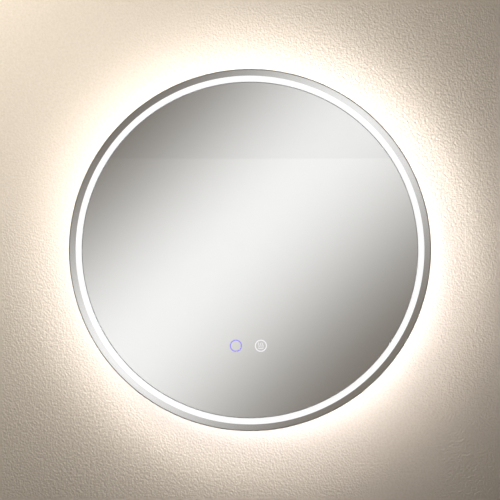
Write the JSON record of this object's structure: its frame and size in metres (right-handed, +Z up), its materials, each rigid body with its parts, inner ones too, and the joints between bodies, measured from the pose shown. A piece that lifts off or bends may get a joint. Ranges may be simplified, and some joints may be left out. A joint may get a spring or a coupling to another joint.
{
  "type": "lighted bathroom mirror",
  "caption": "Round wall mirror with a frosted lit band near its rim, a glowing ring behind it, touch keys low on the glass and a demister, hung on a steel wall bar.",
  "frame": {"origin": "on the wall plane, midway between the wall bar's screws; the mirror's centre is 150 mm below", "axes": "+X to the viewer's right, +Y into the wall, +Z up; the glass faces -Y"},
  "size_m": [0.5999, 0.04, 0.6],
  "materials": {
    "mirror_pane": "clear float glass, rims ground and polished, band frosted",
    "silvering": "silver mirror coating, grey paint on its back",
    "foam_tape": "black closed-cell foam tape",
    "anodised_aluminium": "satin anodised rolled section",
    "opal_acrylic": "opal acrylic, satin, lit from inside",
    "tape_circuit": "white flexible circuit",
    "lamp_chip": "lamp chips with a yellow phosphor face",
    "coated_steel": "zinc-coated steel sheet",
    "bar_steel": "bent zinc-plated steel",
    "screw_steel": "bright zinc-plated steel",
    "tinned_copper": "tinned copper lug",
    "black_rubber": "matt black rubber",
    "box_plastic": "dark grey moulded box",
    "block_plastic": "ivory moulded block",
    "driver_plastic": "white moulded case",
    "circuit_board": "green fibreglass board",
    "ferrite": "dark core and winding",
    "capacitor_can": "sleeved aluminium cans",
    "heating_film": "amber film with a printed heating track",
    "sensor_plastic": "black moulded cup",
    "light_guide": "clear ring that carries the key's light",
    "electrode_foam": "grey conductive foam",
    "mains_sheath": "white sheathed lead",
    "lead_sheath": "white twin lead",
    "earth_sheath": "green and yellow lead",
    "clip_plastic": "white stick-on clips"
  },
  "bodies": {
    "wall_bar": {"wall_bar": "bar_steel"},
    "mirror": {"mirror_glass": "mirror_pane", "silver_layer": "silvering", "bonding_tape": "foam_tape", "light_sensor_pad": "foam_tape", "demister_sensor_pad": "foam_tape", "service_gasket": "foam_tape", "light_frame": "anodised_aluminium", "opal_diffuser": "opal_acrylic", "front_lamp_tape": "tape_circuit", "side_lamp_tape": "tape_circuit", "front_lamps": "lamp_chip", "side_lamps": "lamp_chip", "back_panel": "coated_steel", "service_cover": "coated_steel", "hanger_bar": "bar_steel", "panel_screws": "screw_steel", "hanger_screws": "screw_steel", "hanger_nuts": "screw_steel", "service_screws": "screw_steel", "driver_screws": "screw_steel", "cord_clamp_screws": "screw_steel", "terminal_screws": "screw_steel", "earth_screw": "screw_steel", "earth_nut": "screw_steel", "earth_lug": "tinned_copper", "wall_bumpers": "black_rubber", "cable_grommet": "black_rubber", "lead_sleeves": "black_rubber", "terminal_box": "box_plastic", "cord_clamp": "box_plastic", "terminal_block": "block_plastic", "driver_case": "driver_plastic", "driver_lid": "driver_plastic", "driver_board": "circuit_board", "light_sensor_board": "circuit_board", "demister_sensor_board": "circuit_board", "driver_transformer": "ferrite", "driver_choke": "ferrite", "driver_capacitors": "capacitor_can", "demister_film": "heating_film", "demister_tab": "heating_film", "light_sensor_case": "sensor_plastic", "demister_sensor_case": "sensor_plastic", "light_sensor_light_ring": "light_guide", "demister_sensor_light_ring": "light_guide", "light_sensor_electrode": "electrode_foam", "demister_sensor_electrode": "electrode_foam", "mains_lead": "mains_sheath", "demister_supply_lead": "mains_sheath", "driver_output_lead": "mains_sheath", "front_strip_lead": "lead_sheath", "side_strip_lead": "lead_sheath", "demister_lead": "lead_sheath", "earth_lead": "earth_sheath", "lead_clips": "clip_plastic"}
  },
  "joints": [
    {"name": "lift_off", "type": "slide", "parent": "wall_bar", "child": "mirror", "axis": [0, 0, 1], "range_m": [0, 0.016]}
  ]
}
